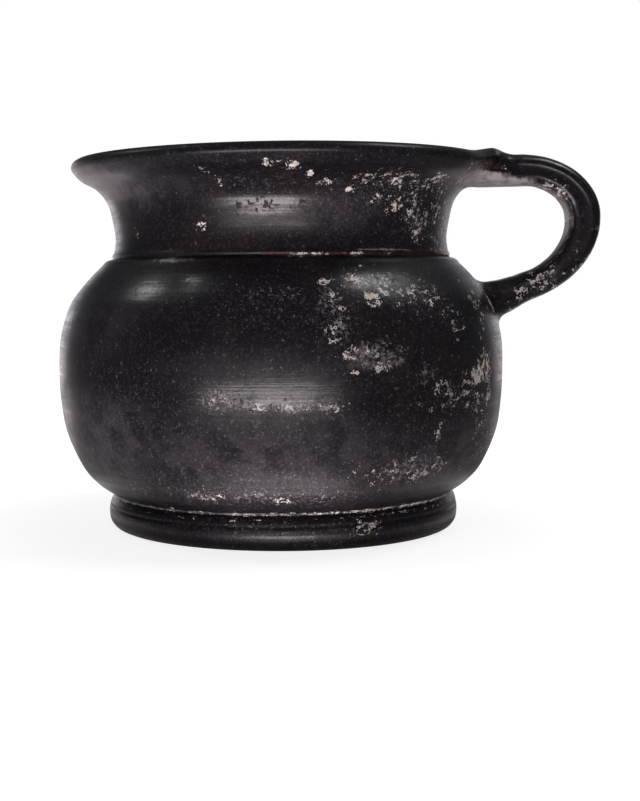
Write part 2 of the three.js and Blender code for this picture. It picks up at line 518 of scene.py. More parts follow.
def joined(target, operation, tool):
    """The target with the tool added or cut away, the change applied and the tool removed."""
    modifier = target.modifiers.new(operation.title(), "BOOLEAN")
    modifier.operation = operation
    modifier.solver = "MANIFOLD"
    modifier.material_mode = "TRANSFER"
    modifier.object = tool
    result = bpy.data.meshes.new_from_object(target.evaluated_get(bpy.context.evaluated_depsgraph_get()))
    target.modifiers.clear()
    target.data = result
    bpy.data.objects.remove(tool)
    return target


def vertices_of(mesh):
    """The mesh's vertices as rows, in metres."""
    points = np.empty(len(mesh.vertices) * 3, np.float32)
    mesh.vertices.foreach_get("co", points)
    return points.reshape(-1, 3).astype(float)


def edges_of(mesh):
    """The mesh's edges as pairs of vertex numbers."""
    pairs = np.empty(len(mesh.edges) * 2, np.int32)
    mesh.edges.foreach_get("vertices", pairs)
    return pairs.reshape(-1, 2)


def seam_of(mesh, first_strap_material):
    """Vertices that faces of both the wall and the strap share."""
    marks = np.empty(len(mesh.polygons), np.int32)
    sizes = np.empty(len(mesh.polygons), np.int32)
    corners = np.empty(len(mesh.loops), np.int32)
    mesh.polygons.foreach_get("material_index", marks)
    mesh.polygons.foreach_get("loop_total", sizes)
    mesh.loops.foreach_get("vertex_index", corners)
    each = np.repeat(marks, sizes)
    on_wall = np.zeros(len(mesh.vertices), bool)
    on_strap = np.zeros(len(mesh.vertices), bool)
    on_wall[corners[each < first_strap_material]] = True
    on_strap[corners[each >= first_strap_material]] = True
    return on_wall & on_strap


def soften(mesh, seam, reach, rounds):
    """Rounds the joint. Each vertex near the seam moves towards the mean of its neighbours, by a
    share that falls from a half at the seam to nothing at the reach."""
    points, pairs = vertices_of(mesh), edges_of(mesh)
    line = points[seam]
    near = np.flatnonzero(
        (points >= line.min(0) - reach).all(1) & (points <= line.max(0) + reach).all(1)
    )
    gap = np.min(np.linalg.norm(points[near][:, None] - line[None], axis=2), axis=1)
    pull = np.zeros(len(points))
    pull[near] = 0.5 * (1 - smoothstep(gap, 0.15 * reach, reach))
    count = np.bincount(pairs.ravel(), minlength=len(points)).astype(float)
    for _ in range(rounds):
        total = np.zeros_like(points)
        for k in range(3):
            total[:, k] = np.bincount(pairs[:, 0], points[pairs[:, 1], k], len(points))
            total[:, k] += np.bincount(pairs[:, 1], points[pairs[:, 0], k], len(points))
        points += pull[:, None] * (total / count[:, None] - points)
    mesh.vertices.foreach_set("co", points.astype(np.float32).ravel())
    mesh.update()


def thrown_vessel(s):
    """The wall and the strap as one closed mesh with softened joints. Two passing materials mark
    which faces come from which, to find the joints."""
    marks = [bpy.data.materials.new(name) for name in ("Wall mark", "Strap mark")]
    vessel = placed(PIECE, *wall(s), s)
    vessel.data.materials.append(marks[0])
    handle = placed("strap", *strap(s), s)
    handle.data.materials.append(marks[1])
    joined(handle, "DIFFERENCE", placed("core", *core(s), s))
    joined(vessel, "UNION", handle)
    names = [mark.name if mark else "" for mark in vessel.data.materials]
    seam = seam_of(vessel.data, names.index(marks[1].name))
    if not seam.any():
        raise RuntimeError("the strap doesn't meet the wall")
    soften(vessel.data, seam, s["seam_softness"] * MM, SOFTEN_ROUNDS)
    vessel.data.materials.clear()
    for mark in marks:
        bpy.data.materials.remove(mark)
    return vessel


# Wear, as named patches over the surface


# Each patch is [angle from the front towards the handle in degrees, height, half width and half
# height along the surface in millimetres, strength]. Ragged pale flecks of crust:
FLECKS = [
    [-1.6, 85.0, 1.3, 0.9, 1.0],
    [4.6, 84.9, 1.4, 0.9, 0.95],
    [-19, 84.2, 1.6, 0.7, 0.6],
    [-16, 81.5, 1.0, 1.6, 0.7],
    [9.3, 83.2, 1.0, 0.9, 0.9],
    [14, 81.6, 2.4, 0.9, 0.8],
    [21.9, 80.2, 1.4, 0.9, 0.95],
    [29, 82.4, 5.5, 2.2, 0.44],
    [39, 83.4, 5.0, 1.8, 0.5],
    [46, 82.0, 6.0, 2.4, 0.46],
    [57, 80.5, 6.0, 3.4, 0.46],
    [44, 78.6, 6.0, 3.0, 0.46],
    [57, 74.0, 6.0, 5.0, 0.42],
    [66, 68.8, 5.0, 2.0, 0.5],
    [36.5, 82.3, 3.4, 1.0, 0.85],
    [31, 78.5, 2.4, 1.4, 0.7],
    [-23.8, 72.6, 1.5, 1.0, 1.0],
    [-54, 70.6, 1.2, 1.4, 0.6],
    [40, 77.4, 3.0, 1.8, 0.7],
    [47, 75.5, 3.2, 3.0, 0.62],
    [51, 71.6, 3.2, 3.6, 0.68],
    [62, 77, 2.4, 5.0, 0.6],
    [70, 73, 2.2, 5.0, 0.62],
    [53, 83.2, 3.4, 1.8, 0.7],
    [66, 85.2, 4.0, 1.2, 0.55],
    [22, 60.2, 4.4, 1.9, 0.68],
    [28, 58.6, 4.4, 2.4, 0.64],
    [34, 57.4, 4.8, 2.6, 0.62],
    [30, 60.4, 8.0, 2.4, 0.42],
    [42, 57.0, 5.0, 3.0, 0.55],
    [48, 52.0, 4.0, 5.0, 0.45],
    [24, 56.6, 2.4, 1.6, 0.85],
    [38.5, 58.6, 2.0, 1.4, 0.7],
    [41, 55.3, 1.0, 1.2, 1.0],
    [43, 58.2, 3.0, 2.6, 0.5],
    [62, 53, 3.2, 6.0, 0.5],
    [70, 49, 2.4, 9.0, 0.62],
    [74, 40, 2.0, 6.0, 0.5],
    [56.5, 39.0, 4.0, 2.8, 0.98],
    [60, 42.0, 4.6, 3.4, 0.6],
    [52, 36.0, 6.0, 4.0, 0.52],
    [76, 55.0, 2.4, 6.0, 0.75],
    [72, 58.6, 2.4, 2.6, 0.65],
    [12.5, 60.0, 1.6, 0.7, 0.85],
    [14, 57.4, 1.0, 1.2, 0.8],
    [62, 40.0, 2.4, 4.4, 0.9],
    [63, 33.4, 2.4, 3.8, 0.82],
    [57, 33.0, 2.0, 3.8, 0.6],
    [48, 34.6, 5.0, 2.0, 0.42],
    [45, 31.5, 4.5, 2.0, 0.45],
    [38.5, 31.0, 1.0, 0.8, 0.7],
    [35, 33.2, 0.7, 0.6, 0.9],
    [61, 26.5, 5.0, 4.0, 0.5],
    [68, 22, 4.0, 5.0, 0.42],
    [42, 26.4, 1.2, 2.4, 0.75],
    [43, 18.6, 4.0, 2.2, 0.5],
    [37, 16.4, 3.4, 2.0, 0.5],
    [18, 40.6, 1.6, 0.6, 0.8],
    [24, 41.4, 1.2, 0.8, 0.8],
    [26, 43.0, 0.6, 0.5, 1.0],
    [33, 18.0, 9.0, 3.2, 0.36],
    [-20, 13.0, 5.0, 1.8, 0.3],
    [74, 84.6, 5.0, 2.4, 0.4],
    [66, 82.6, 5.0, 2.0, 0.45],
    [6.8, 66.1, 2.2, 0.5, 0.9],
    [12.5, 66.1, 3.0, 0.5, 0.85],
    [24, 66.2, 2.6, 0.4, 0.75],
    [36, 66.3, 2.0, 0.4, 0.7],
    [27, 4.7, 3.9, 1.4, 0.5],
    [-12, 34.6, 4.4, 1.2, 0.55],
    [-3.5, 33.4, 1.5, 1.0, 1.0],
    [3, 33.2, 4.6, 0.9, 0.72],
    [12, 33.4, 4.0, 0.8, 0.6],
]

# Thin winding lines that roots left:
WORMS = [
    [27, 4.7, 4.2, 1.5, 1.0],
    [3, 85.0, 3.2, 1.3, 0.8],
    [19, 44.5, 7.5, 3.2, 0.62],
    [25, 41.8, 5.0, 2.2, 0.6],
    [13, 48.5, 3.0, 3.2, 0.5],
    [16, 54, 3.0, 5.0, 0.5],
    [42, 36.2, 3.6, 2.6, 0.8],
    [46, 33.0, 3.0, 2.4, 0.7],
    [30, 18.4, 7.0, 3.0, 0.55],
    [39, 17.0, 4.6, 2.2, 0.62],
    [46, 19.0, 4.0, 2.0, 0.5],
    [-18, 12.6, 3.2, 1.4, 0.6],
    [2, 12.2, 4.8, 1.8, 0.62],
    [-3, 13.6, 6.0, 1.6, 0.4],
    [12, 14.6, 7.0, 2.4, 0.4],
    [53, 74, 5.0, 5.0, 0.5],
    [-36, 57.6, 3.0, 1.4, 0.5],
    [-24, 60.4, 2.6, 1.0, 0.6],
    [70, 46, 3.0, 9.0, 0.6],
]

# Dim grey webs of the same lime:
WEB = [
    [15, 51.5, 3.2, 6.0, 0.9],
    [12.5, 56.0, 3.4, 4.6, 0.9],
    [24, 44.2, 9.5, 4.4, 1.0],
    [37, 39.6, 5.0, 3.4, 0.8],
    [2, 57.0, 9.0, 3.4, 0.7],
    [42, 36.4, 6.0, 3.4, 0.6],
    [36, 19.0, 12.0, 4.2, 0.95],
    [14, 13.4, 10.0, 2.6, 0.7],
    [-6, 13.4, 9.0, 2.6, 0.85],
    [-20, 13.0, 7.0, 2.2, 0.85],
    [-40, 13.4, 8.0, 2.4, 0.7],
    [66, 22.0, 8.0, 7.0, 0.6],
    [70, 46.0, 4.0, 10.0, 0.6],
    [36, 80.0, 12.0, 5.0, 0.6],
    [56, 73.0, 8.0, 6.0, 0.7],
    [30, 58.6, 12.0, 4.0, 0.6],
    [-58, 37.0, 4.0, 6.0, 0.4],
]

# Gloss rubbed grey, and painted highlight lines along the collar:
RUBBED_AND_HIGHLIGHT = [
    [21, 43.4, 8.5, 5.0, 0.85],
    [34, 39.4, 5.0, 3.4, 0.55],
    [44, 36.0, 6.0, 3.6, 0.5],
    [33, 18.0, 10.0, 4.0, 0.62],
    [10, 14.6, 9.0, 3.2, 0.5],
    [-12, 13.0, 14.0, 2.4, 0.55],
    [13, 52.0, 5.0, 6.0, 0.5],
    [0, 56.0, 7.0, 2.6, 0.45],
    [27, 58.6, 10.0, 3.0, 0.55],
    [36, 57.0, 10.0, 3.6, 0.5],
    [33, 81.6, 12.0, 3.6, 0.5],
    [50, 73.0, 7.0, 5.5, 0.62],
    [64, 84.6, 9.0, 2.6, 0.8],
    # These two rows are painted highlight lines along the collar's top edge
    [40, 66.9, 7.0, 0.55, 1.0],
    [-34, 65.2, 5.0, 0.7, 1.0],
    [58, 36.0, 8.0, 7.0, 0.5],
    [66, 22.0, 9.0, 7.0, 0.6],
    [66, 52.0, 5.0, 7.0, 0.5],
    [-56, 82.5, 12.0, 3.0, 0.6],
    [-42, 82.0, 12.0, 3.0, 0.35],
    [-2, 76.6, 9.0, 2.6, 0.42],
    [-37, 57.8, 6.0, 2.6, 0.4],
]

# The even grey of gloss dulled all over, partly painted sheen: the floor's reflection on the lower belly and
# under the lip on the left:
VEIL_AND_SHEEN = [
    [-4, 23.0, 44.0, 7.0, 0.52],
    [-50, 25.0, 20.0, 9.0, 0.9],
    [-75, 22.0, 24.0, 9.0, 0.9],
    [-52, 50.0, 16.0, 8.0, 0.25],
    [72, 60.4, 10.0, 4.0, 0.6],
    [62, 20.0, 30.0, 9.0, 0.64],
    [-70, 82.4, 28.0, 4.6, 0.95],
    [-52, 78.5, 10.0, 3.0, 0.4],
    [22, 76.0, 9.0, 5.0, 0.3],
    [0, 41.0, 30.0, 5.0, 0.12],
]

# Where the gloss kept its full polish:
POLISH = [
    [-4, 77.8, 8.0, 1.4, 1.9],
    [-5, 75.6, 6.0, 1.1, 1.3],
    [1, 36.6, 14.0, 3.2, 1.4],
    [-36, 58.4, 5.0, 2.2, 1.2],
    [-22, 60.4, 2.8, 1.0, 1.2],
    [20, 60.6, 7.0, 2.2, 1.6],
    [2, 3.6, 8.0, 1.2, 1.0],
    [-70, 40.0, 9.0, 22.0, 0.6],
    [75, 38.0, 8.0, 20.0, 0.5],
    [-72, 74.0, 9.0, 6.0, 0.4],
    [150, 50.0, 40.0, 30.0, 0.5],
    [-150, 50.0, 40.0, 30.0, 0.5],
]

# Small chips through the gloss, dark where the light catches it:
CHIPS = [
    [-6, 76.4, 9.0, 2.6, 0.64],
    [13, 76.0, 8.0, 4.0, 0.74],
    [2, 33.0, 12.0, 3.4, 0.5],
    [-8, 34.0, 6.0, 4.0, 0.62],
    [24, 60.0, 14.0, 3.0, 0.55],
    [-36, 58.0, 8.0, 3.0, 0.4],
    [0, 3.6, 12.0, 2.0, 0.35],
]

# Fine pale dust:
DUST = [
    [-13, 34.8, 6.0, 3.0, 1.0],
    [-4, 33.8, 5.0, 2.4, 1.12],
    [4, 33.4, 5.0, 2.0, 1.05],
    [12, 33.4, 5.0, 1.8, 0.95],
    [0, 26.0, 34.0, 14.0, 0.24],
    [-40, 30.0, 20.0, 14.0, 0.28],
    [-10, 18.0, 40.0, 8.0, 0.32],
    [40, 26.0, 16.0, 14.0, 0.35],
    [-20, 13.0, 14.0, 2.6, 0.55],
    [10, 13.0, 14.0, 2.6, 0.5],
    [-47, 38.0, 3.0, 3.0, 0.45],
    [60, 24.0, 10.0, 10.0, 0.55],
    [0, 55.0, 14.0, 5.0, 0.24],
    [14, 51.0, 6.0, 6.0, 0.42],
    [28, 58.6, 10.0, 3.4, 0.7],
    [36, 56.6, 9.0, 4.4, 0.55],
    [45, 55.0, 8.0, 6.0, 0.35],
    [-6, 81.0, 12.0, 3.0, 0.25],
    [34, 79.0, 14.0, 5.0, 0.5],
    [50, 74.0, 9.0, 6.0, 0.6],
    [-3, 76.4, 8.0, 2.4, 0.4],
    [0, 5.0, 26.0, 2.4, 0.25],
]

# The same on the handle, as [x from the body's axis, height, half size, strength], seen from
# its side. The first list is flecks, the second rubbed gloss.
STRAP_FLECKS = [
    [65.4, 83.4, 1.6, 0.85],
    [68.4, 82.0, 1.7, 0.95],
    [70.6, 75.3, 0.7, 1.0],
    [78.0, 73.0, 0.8, 0.8],
    [76.0, 66.0, 1.8, 0.8],
    [73.6, 62.6, 2.4, 0.7],
    [66.5, 61.6, 3.0, 0.72],
    [63.0, 60.0, 3.6, 0.75],
    [59.0, 58.0, 2.0, 0.9],
    [58.6, 55.6, 1.2, 0.8],
    [56.6, 52.6, 1.6, 0.8],
    [66.6, 58.4, 1.2, 0.8],
]
STRAP_RUBBED = [
    [74.5, 63.5, 3.6, 0.8],
    [66.0, 61.0, 4.6, 0.75],
    [60.0, 60.5, 4.2, 0.6],
    [72.0, 82.0, 3.0, 0.35],
]

# What is seen of each kind of wear, and how it is strewn over the sides that the photograph
# doesn't show: how many patches, the lowest and the highest, their size and their strength
WEAR = {
    "flecks": (FLECKS, (34, 10, 86, 3.2, 0.72)),
    "worms": (WORMS, (16, 10, 84, 4.5, 0.6)),
    "rubbed": (RUBBED_AND_HIGHLIGHT, (26, 9, 86, 8.0, 0.6)),
    "dust": (DUST, (26, 9, 86, 10.0, 0.5)),
    "veil": (VEIL_AND_SHEEN, (12, 9, 86, 22.0, 0.4)),
    "chips": (CHIPS, (14, 9, 86, 8.0, 0.5)),
    "web": (WEB, (24, 9, 86, 7.0, 0.85)),
}
HIDDEN_ARC = (95, 275)

# The side of the strap towards the finger gap, in millimetres: the point that it faces, the circle
# round the gap that it lies in, as its middle's x and height and its radius, how far it is past the
# body, and its lower end
FACED_POINT = (57.0, 0, 72.5)
GAP_MIDDLE = (58, 72)
GAP_RADIUS = 15
PAST_BODY = 56
LOWER_END = 62

# The polish kept everywhere, and how much more of it there is on the strap and inside
PLAIN_POLISH = 0.36
STRAP_POLISH = 0.75


class Places:
    """Where each vertex is: in millimetres from the body's axis, in degrees from the front towards
    the handle, and in level, which is its height with the body's tilt taken out. Outer is true on
    the outside of the clay, not within the mouth or under the foot, and body leaves out the strap."""

    def __init__(self, mesh, s):
        into_wall, over_lip, off_body = 1.2, 1.5, 2
        self.mesh = mesh
        self.points = vertices_of(mesh) / MM - np.array([axis_x(s), 0, 0])
        self.x, self.y, self.z = self.points.T
        self.radius = np.hypot(self.x, self.y)
        self.angle = np.degrees(np.arctan2(self.x, -self.y))
        self.level = self.z - self.x * s["body_tilt"]
        inside = np.array(mouth_outline(s)[2])[::-1]
        hollow = np.interp(self.z, inside[:, 1], inside[:, 0], left=s["rest_inner"])
        self.outer = (self.radius > hollow + into_wall) | (self.z > s["height"] - over_lip)
        self.body = self.outer & (self.radius < s["belly_radius"] + off_body)


def patches(at, rows):
    """The strength of the nearest of several patches, each falling off from its middle as a
    bell of the distance along the surface, measured in its own half sizes."""
    mask = np.zeros(len(at.points))
    for turn, height, half_width, half_height, strength in rows:
        across = np.radians((at.angle - turn + 180) % 360 - 180) * at.radius
        gap = (across / half_width) ** 2 + ((at.z - height) / half_height) ** 2
        mask = np.maximum(mask, strength * np.exp(-(gap**1.5)))
    return mask


def strap_patches(at, s, rows):
    """As patches, but round points of the strap seen from its side."""
    mask = np.zeros(len(at.points))
    for along, height, half, strength in rows:
        gap = ((at.x - along) ** 2 + (at.z - height) ** 2) / half**2
        mask = np.maximum(mask, strength * np.exp(-gap))
    return np.where(at.radius > s["belly_radius"], mask, 0)


def scattered(rng, count, low, high, size, strength):
    """Patches strewn over the sides that the photograph doesn't show, fewer and fainter."""
    return np.stack(
        [
            rng.uniform(*HIDDEN_ARC, count),
            rng.uniform(low, high, count),
            rng.uniform(0.5, 1.5, count) * size,
            rng.uniform(0.4, 1.0, count) * size,
            rng.uniform(0.5, 1.0, count) * strength,
        ],
        axis=1,
    ).tolist()


def bare_clay(at, s):
    """Red clay in the scraped groove, most of it on the side that is seen, and on the foot's edge."""
    groove_half, edge_half = 0.42, 0.55
    seen = 0.3 + 0.7 * smoothstep(np.abs(at.angle - 60), 75, 55)
    groove = seen * bell(at.level, s["groove_height"], groove_half)
    foot_edge = bell(at.z, 0, edge_half) * (at.radius > s["rest_inner"] - 1)
    return np.maximum(np.where(at.body, groove, 0), foot_edge)


def creases(at, s):
    """Two thin lines where the foot's band meets the belly: the crease, and one just below it."""
    near = (at.radius > 38) * (at.radius < 44)
    crease = bell(at.level, s["foot_height"] + 0.15, 0.4) * near
    return crease, bell(at.level, s["foot_height"] - 1.0, 0.25) * near


def scrape(at):
    """The scraped place under the drawn-up lip, on the front of the handle's root."""
    return bell(at.x, 50.0, 5.0, 4) * bell(at.z, 87.6, 0.9) * (at.y < 0)


def under_root(at):
    """The underside of the handle's root and the neck's end beside it."""
    neck_end = bell(at.x, 46.5, 9.5, 4) * bell(at.z, 85.0, 2.4, 4)
    below = bell(at.x, 53, 10, 4) * bell(at.z, 83.6, 2.0, 4)
    return np.maximum(neck_end, below) * smoothstep(np.abs(at.y), 26, 12) * (at.x > 36)


def finger_side(at, s):
    """How far each vertex of the strap faces the finger gap, from 0 to 1. The strap's ends, past
    the circle round the gap, are left out."""
    normals = np.empty(len(at.mesh.vertices) * 3, np.float32)
    at.mesh.vertices.foreach_get("normal", normals)
    towards = np.array(FACED_POINT) - at.points
    towards[:, 1] = 0
    towards = towards / np.maximum(np.linalg.norm(towards, axis=1), 1e-6)[:, None]
    facing = smoothstep((normals.reshape(-1, 3) * towards).sum(1), 0.45, 0.8)
    near = np.hypot(at.x - GAP_MIDDLE[0], at.z - GAP_MIDDLE[1]) < GAP_RADIUS
    on_strap = (at.radius > PAST_BODY) * (at.z > LOWER_END) * (np.abs(at.y) < s["strap_width"] / 2 + 1)
    return near * on_strap * facing


def store(mesh, name, values):
    """Keeps one number for each vertex, for the material to read."""
    attribute = mesh.attributes.new(name, "FLOAT", "POINT")
    attribute.data.foreach_set("value", values.astype(np.float32))


def record_wear(mesh, s):
    """Works out where each kind of wear lies and keeps it on the mesh."""
    at = Places(mesh, s)
    rng = np.random.default_rng(SEED)
    wear = {
        name: np.where(at.body, patches(at, seen + scattered(rng, *hidden)), 0)
        for name, (seen, hidden) in WEAR.items()
    }
    crease, second = creases(at, s)
    scraped, finger = scrape(at), finger_side(at, s)
    caked = 0.5 + 0.5 * smoothstep(at.angle, 0, 25) * smoothstep(at.angle, 100, 70)
    # Painted highlight: two light lines along the collar, where the light catches it, laid in as grey film
    collar_left_highlight = bell(at.level, 65.0, 0.8) * bell(at.angle, -33, 9)
    collar_right_highlight = bell(at.level, 67.0, 0.35) * bell(at.angle, 36, 13, 4)
    wear["flecks"] = np.maximum.reduce(
        [
            wear["flecks"],
            strap_patches(at, s, STRAP_FLECKS),
            caked * crease,
            0.6 * caked * second,
            0.5 * scraped * at.outer,
        ]
    )
    wear["rubbed"] = np.maximum(wear["rubbed"], strap_patches(at, s, STRAP_RUBBED))
    polish = PLAIN_POLISH + np.where(at.body, patches(at, POLISH), STRAP_POLISH)
    wear["polish"] = polish * (1 - 0.9 * finger)
    wear["clay"] = np.maximum(bare_clay(at, s), 0.9 * scraped * at.outer)
    wear["film"] = np.maximum.reduce(
        [
            0.7 * crease,
            0.75 * collar_left_highlight,
            # the painted highlight lines along the collar
            0.7 * collar_right_highlight,
            under_root(at) * at.outer * (1 - scraped),
            0.46 * finger,
        ]
    )
    for name, values in wear.items():
        store(mesh, name, values)


# Materials


class Graph:
    """A node tree built by short calls. Each call adds nodes and gives the last one's output,
    which the next call can take in."""

    def __init__(self, tree):
        self.tree = tree
        self.column = 0
        tree.nodes.clear()

    def add(self, kind, settings=None, inputs=None, output=0):
        """A node of one kind, with its settings, and a number or a link for each input."""
        node = self.tree.nodes.new(kind)
        self.column += 1
        node.location = (self.column * 60, -(self.column % 7) * 160)
        for name, value in (settings or {}).items():
            setattr(node, name, value)
        for key, value in (inputs or {}).items():
            if isinstance(value, bpy.types.NodeSocket):
                self.tree.links.new(value, node.inputs[key])
            elif value is not None:
                node.inputs[key].default_value = value
        return node.outputs[output]

    def math(self, kind, first, second=None, clamp=False):
        return self.add("ShaderNodeMath", {"operation": kind, "use_clamp": clamp}, {0: first, 1: second})

    def chain(self, kind, values, clamp=False):
        """One operation carried through several values, from the first to the last."""
        result, *others = values
        for value in others:
            result = self.math(kind, result, value, clamp)
        return result

    def product(self, *values, clamp=False):
        return self.chain("MULTIPLY", values, clamp)

    def total(self, *values):
        return self.chain("ADD", values)

    def largest(self, *values):
        return self.chain("MAXIMUM", values)

    def between(self, value, low, high, to_low=0.0, to_high=1.0):
        """Carries value smoothly from the range low to high onto another."""
        return self.add(
            "ShaderNodeMapRange",
            {"interpolation_type": "SMOOTHSTEP"},
            {"Value": value, "From Min": low, "From Max": high, "To Min": to_low, "To Max": to_high},
        )

    def past(self, field, limit, low, high):
        """From 0 to 1, as the field's lead over a limit goes from low to high."""
        return self.between(self.math("SUBTRACT", field, limit), low, high)

    def noise(self, place, scale, detail=3.0, rough=0.55, bend=0.0, output=0):
        """Fractal noise. Output 1 is its colour, three numbers that change apart."""
        return self.add(
            "ShaderNodeTexNoise",
            {"noise_dimensions": "3D"},
            {"Vector": place, "Scale": scale, "Detail": detail, "Roughness": rough, "Distortion": bend},
            output,
        )

    def streaks(self, place, around, upwards, detail=2.0):
        """Noise that changes slowly round the pot and fast upwards."""
        squeezed = self.add(
            "ShaderNodeMapping",
            {"vector_type": "POINT"},
            {"Vector": place, "Scale": (around, around, upwards)},
        )
        return self.noise(squeezed, 1.0, detail)

    def blend(self, amount, first, second):
        """A colour that goes from the first to the second as the amount goes from 0 to 1."""
        return self.add("ShaderNodeMix", {"data_type": "RGBA"}, {0: amount, 6: first, 7: second}, output=2)

    def kept(self, name):
        """A number kept on the mesh."""
        settings = {"attribute_type": "GEOMETRY", "attribute_name": name}
        return self.add("ShaderNodeAttribute", settings, output=2)

    def place(self):
        """Where the surface is, in the object's own metres."""
        return self.add("ShaderNodeTexCoord", output=3)

    def group(self, tree, inputs, output=0):
        """A node group placed in this tree."""
        return self.add("ShaderNodeGroup", {"node_tree": tree}, inputs, output)

    def surface(self, kind, shader):
        """Ends the tree with its output node."""
        sink = self.tree.nodes.new(kind)
        self.tree.links.new(shader, sink.inputs["Surface"])


def colour(value):
    """Red, green and blue with full opacity."""
    return (*value, 1.0)


def new_material(name):
    """A material and the empty graph of its nodes."""
    material = bpy.data.materials.new(name)
    material.use_nodes = True
    return material, Graph(material.node_tree)


def new_group(name, inputs, outputs):
    """An empty node group with number outputs. An input is a number with that default, or a place
    where the default is None."""
    tree = bpy.data.node_groups.new(name, "ShaderNodeTree")
    for label, default in inputs.items():
        kind = "NodeSocketVector" if default is None else "NodeSocketFloat"
        socket = tree.interface.new_socket(label, in_out="INPUT", socket_type=kind)
        if default is not None:
            socket.default_value = default
    for label in outputs:
        tree.interface.new_socket(label, in_out="OUTPUT", socket_type="NodeSocketFloat")
    graph = Graph(tree)
    source = tree.nodes.new("NodeGroupInput")
    sink = tree.nodes.new("NodeGroupOutput")
    return graph, source.outputs, sink.inputs


def flecks_group():
    """Ragged flecks: cells of a warped space, each a blob of its own size. A cell is kept if its
    random number is below the density, and the mask is 1 well inside its blob."""
    graph, given, result = new_group(
        "Ragged flecks", {"Place": None, "Density": 0.5, "Scale": 600.0, "Fill": 0.5}, ["Mask"]
    )
    warp_scale = graph.product(given["Scale"], 2.2)
    warp = graph.noise(given["Place"], warp_scale, rough=0.6, output=1)
    centred = graph.add("ShaderNodeVectorMath", {"operation": "SUBTRACT"}, {0: warp, 1: (0.5, 0.5, 0.5)})
    warp_reach = graph.math("DIVIDE", 3.0, given["Scale"])
    push = graph.add("ShaderNodeVectorMath", {"operation": "SCALE"}, {0: centred, "Scale": warp_reach})
    warped = graph.add("ShaderNodeVectorMath", {"operation": "ADD"}, {0: given["Place"], 1: push})
    cells = graph.add(
        "ShaderNodeTexVoronoi",
        {"voronoi_dimensions": "3D", "feature": "F1"},
        {"Vector": warped, "Scale": given["Scale"]},
    )
    draws = graph.add("ShaderNodeSeparateColor", None, {0: cells.node.outputs["Color"]})
    kept = graph.math("LESS_THAN", draws, given["Density"])
    reach = graph.product(graph.between(draws.node.outputs[1], 0.0, 1.0, 0.35, 1.0), given["Fill"])
    blob = graph.between(cells, graph.product(reach, 0.75), reach, *FALLING)
    graph.tree.links.new(graph.product(kept, blob), result["Mask"])
    return graph.tree


def worms_group():
    """Winding lines: where a warped noise crosses its middle value, kept in ragged stretches."""
    graph, given, result = new_group(
        "Winding lines", {"Place": None, "Density": 0.5, "Scale": 500.0, "Width": 0.03}, ["Mask"]
    )
    path = graph.noise(given["Place"], given["Scale"], detail=2.0, rough=0.5, bend=1.2)
    off = graph.math("ABSOLUTE", graph.math("SUBTRACT", path, 0.5))
    line = graph.between(off, graph.product(given["Width"], 0.5), given["Width"], *FALLING)
    broken = graph.noise(given["Place"], graph.product(given["Scale"], 0.9))
    limit = graph.between(given["Density"], 0.0, 1.0, 0.78, 0.3)
    graph.tree.links.new(graph.product(line, graph.past(broken, limit, -0.01, 0.03)), result["Mask"])
    return graph.tree


def crust_group():
    """Ragged crust: where fractal noise passes a limit, which falls as the density rises, so that
    a patch is joined up in its middle and breaks into specks at its edge."""
    graph, given, result = new_group(
        "Ragged crust", {"Place": None, "Density": 0.5, "Scale": 600.0}, ["Mask"]
    )
    field = graph.noise(given["Place"], given["Scale"], detail=4.0, rough=0.62, bend=0.5)
    limit = graph.between(given["Density"], 0.0, 1.0, 0.73, 0.46)
    graph.tree.links.new(graph.past(field, limit, 0.0, 0.022), result["Mask"])
    return graph.tree


def wheel_group():
    """Wheel marks: noise stretched round the pot, so that it changes fast upwards only. The first
    output is their height, the second how well each streak kept its polish."""
    graph, given, result = new_group("Wheel marks", {"Place": None}, ["Height", "Polish"])
    fine = graph.streaks(given["Place"], 40, 2600)
    broad = graph.streaks(given["Place"], 9, 620)
    hairs = graph.streaks(given["Place"], 55, 3300, detail=1.0)
    bands = graph.streaks(given["Place"], 22, 900)
    height = graph.total(graph.product(fine, 0.3), graph.product(broad, 0.7))
    polish = graph.product(
        graph.between(hairs, 0.36, 0.62, 0.5, 1.0), graph.between(bands, 0.36, 0.6, 0.6, 1.0)
    )
    graph.tree.links.new(height, result["Height"])
    graph.tree.links.new(polish, result["Polish"])
    return graph.tree


